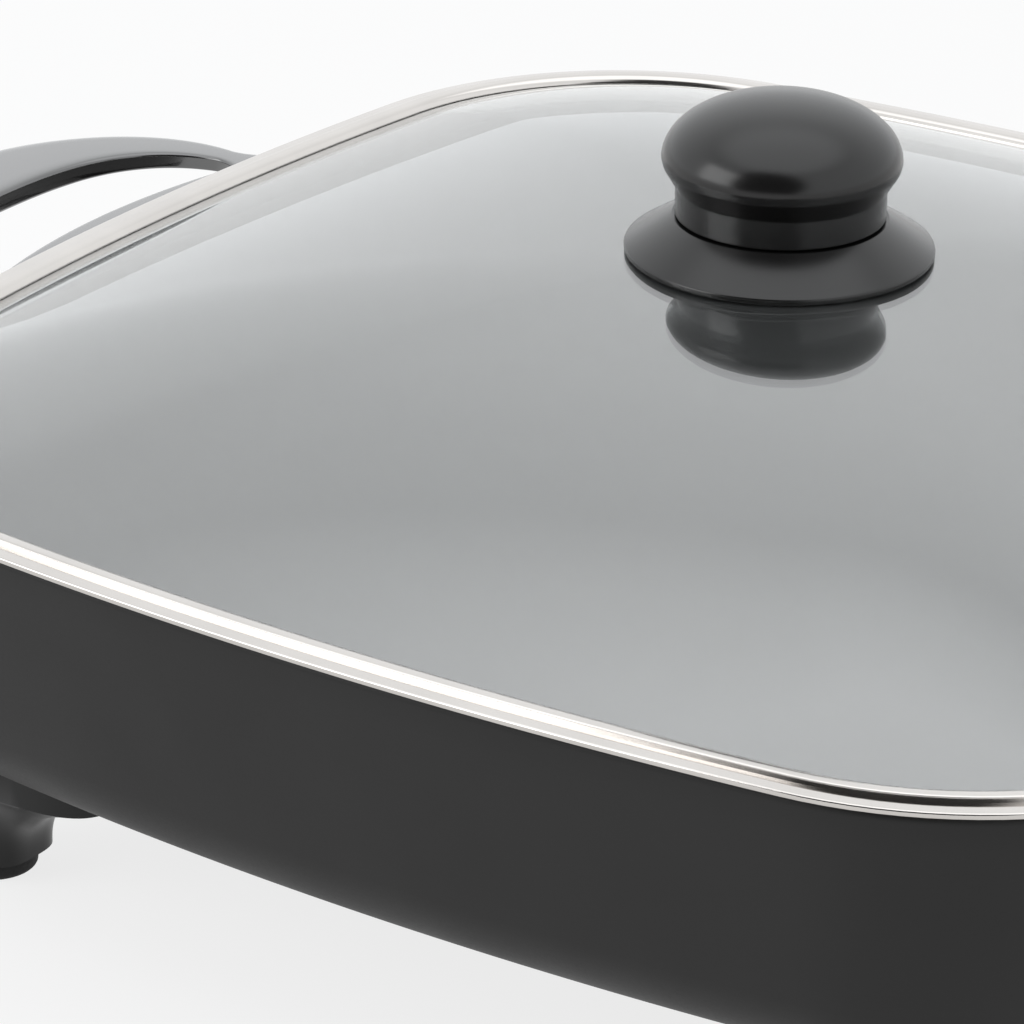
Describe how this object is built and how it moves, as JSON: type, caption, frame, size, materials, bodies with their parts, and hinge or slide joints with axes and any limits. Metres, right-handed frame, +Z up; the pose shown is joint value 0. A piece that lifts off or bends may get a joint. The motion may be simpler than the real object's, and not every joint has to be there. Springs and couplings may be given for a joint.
{
  "type": "electric skillet",
  "caption": "Nearly square electric skillet with a domed glass lift-off lid in a steel band, round knob, bow handles, short legs and a plug-in thermostat control with a dial.",
  "frame": {"origin": "on the floor under the middle of the bounding box, with all four feet at z = 0", "axes": "+X towards the thermostat control, +Y towards the far long side in the picture, +Z up"},
  "size_m": [0.4498, 0.3, 0.1478],
  "materials": {
    "nonstick": "die-cast aluminium under a matte charcoal non-stick coating",
    "phenolic": "moulded black phenolic, semi-gloss",
    "satin_phenolic": "moulded black phenolic, satin",
    "glass": "clear tempered glass, domed",
    "polished_steel": "bright polished stainless steel band",
    "plain_steel": "plain plated steel",
    "element_sheath": "dull grey metal-sheathed element",
    "brass": "plain brass",
    "ceramic": "unglazed white ceramic",
    "rubber": "matte black rubber",
    "silicone": "grey silicone",
    "housing": "moulded black heat-resistant plastic, fine satin",
    "amber": "clear red-amber plastic, glossy",
    "lamp_glass": "clear lamp glass"
  },
  "bodies": {
    "base": {"pan": "nonstick", "heating_element": "element_sheath", "terminal_bush_front": "ceramic", "terminal_bush_rear": "ceramic", "terminal_pin_front": "plain_steel", "terminal_pin_rear": "plain_steel", "probe_guide": "plain_steel", "terminal_guard": "plain_steel", "handle_left": "phenolic", "handle_right": "phenolic", "leg_left_front": "phenolic", "foot_pad_left_front": "rubber", "leg_screw_left_front": "plain_steel", "leg_left_rear": "phenolic", "foot_pad_left_rear": "rubber", "leg_screw_left_rear": "plain_steel", "leg_right_front": "phenolic", "foot_pad_right_front": "rubber", "leg_screw_right_front": "plain_steel", "leg_right_rear": "phenolic", "foot_pad_right_rear": "rubber", "leg_screw_right_rear": "plain_steel", "handle_screw_left_1": "plain_steel", "handle_screw_left_2": "plain_steel", "handle_screw_right_1": "plain_steel", "handle_screw_right_2": "plain_steel", "guard_screw_1": "plain_steel", "guard_screw_2": "plain_steel"},
    "lid": {"lid_glass": "glass", "lid_rim_band": "polished_steel", "vent_eyelet": "plain_steel", "knob_grip": "satin_phenolic", "knob_skirt": "satin_phenolic", "knob_gasket": "silicone", "knob_washer": "plain_steel", "knob_screw": "plain_steel"},
    "control": {"control_lower_shell": "housing", "control_upper_shell": "housing", "terminal_block": "ceramic", "socket_front": "brass", "socket_rear": "brass", "sensing_rod": "plain_steel", "fixed_contact": "brass", "indicator_lamp": "lamp_glass", "indicator_lens": "amber", "cord_gland": "rubber", "control_screw_1": "plain_steel", "control_screw_2": "plain_steel", "control_screw_3": "plain_steel"},
    "dial": {"control_dial": "housing", "dial_shaft": "plain_steel"},
    "contact_arm": {"contact_blade": "brass"}
  },
  "joints": [
    {"name": "lid_lift", "type": "slide", "parent": "base", "child": "lid", "axis": [0, 0, 1], "range_m": [0, 0.15]},
    {"name": "control_plug", "type": "slide", "parent": "base", "child": "control", "axis": [1, 0, 0], "range_m": [0, 0.1]},
    {"name": "dial_turn", "type": "hinge", "parent": "control", "child": "dial", "pos_m": [0.17063, 0, 0.0399], "axis": [0, 0, 1], "range_deg": [-300, 0]},
    {"name": "contact_arm_tilt", "type": "hinge", "parent": "control", "child": "contact_arm", "pos_m": [0.14913, 0, 0.0273], "axis": [0, 1, 0], "range_deg": [0, 3.6]}
  ],
  "couplings": [
    {"joint": "contact_arm_tilt", "follows": "dial_turn", "ratio": -0.012}
  ]
}
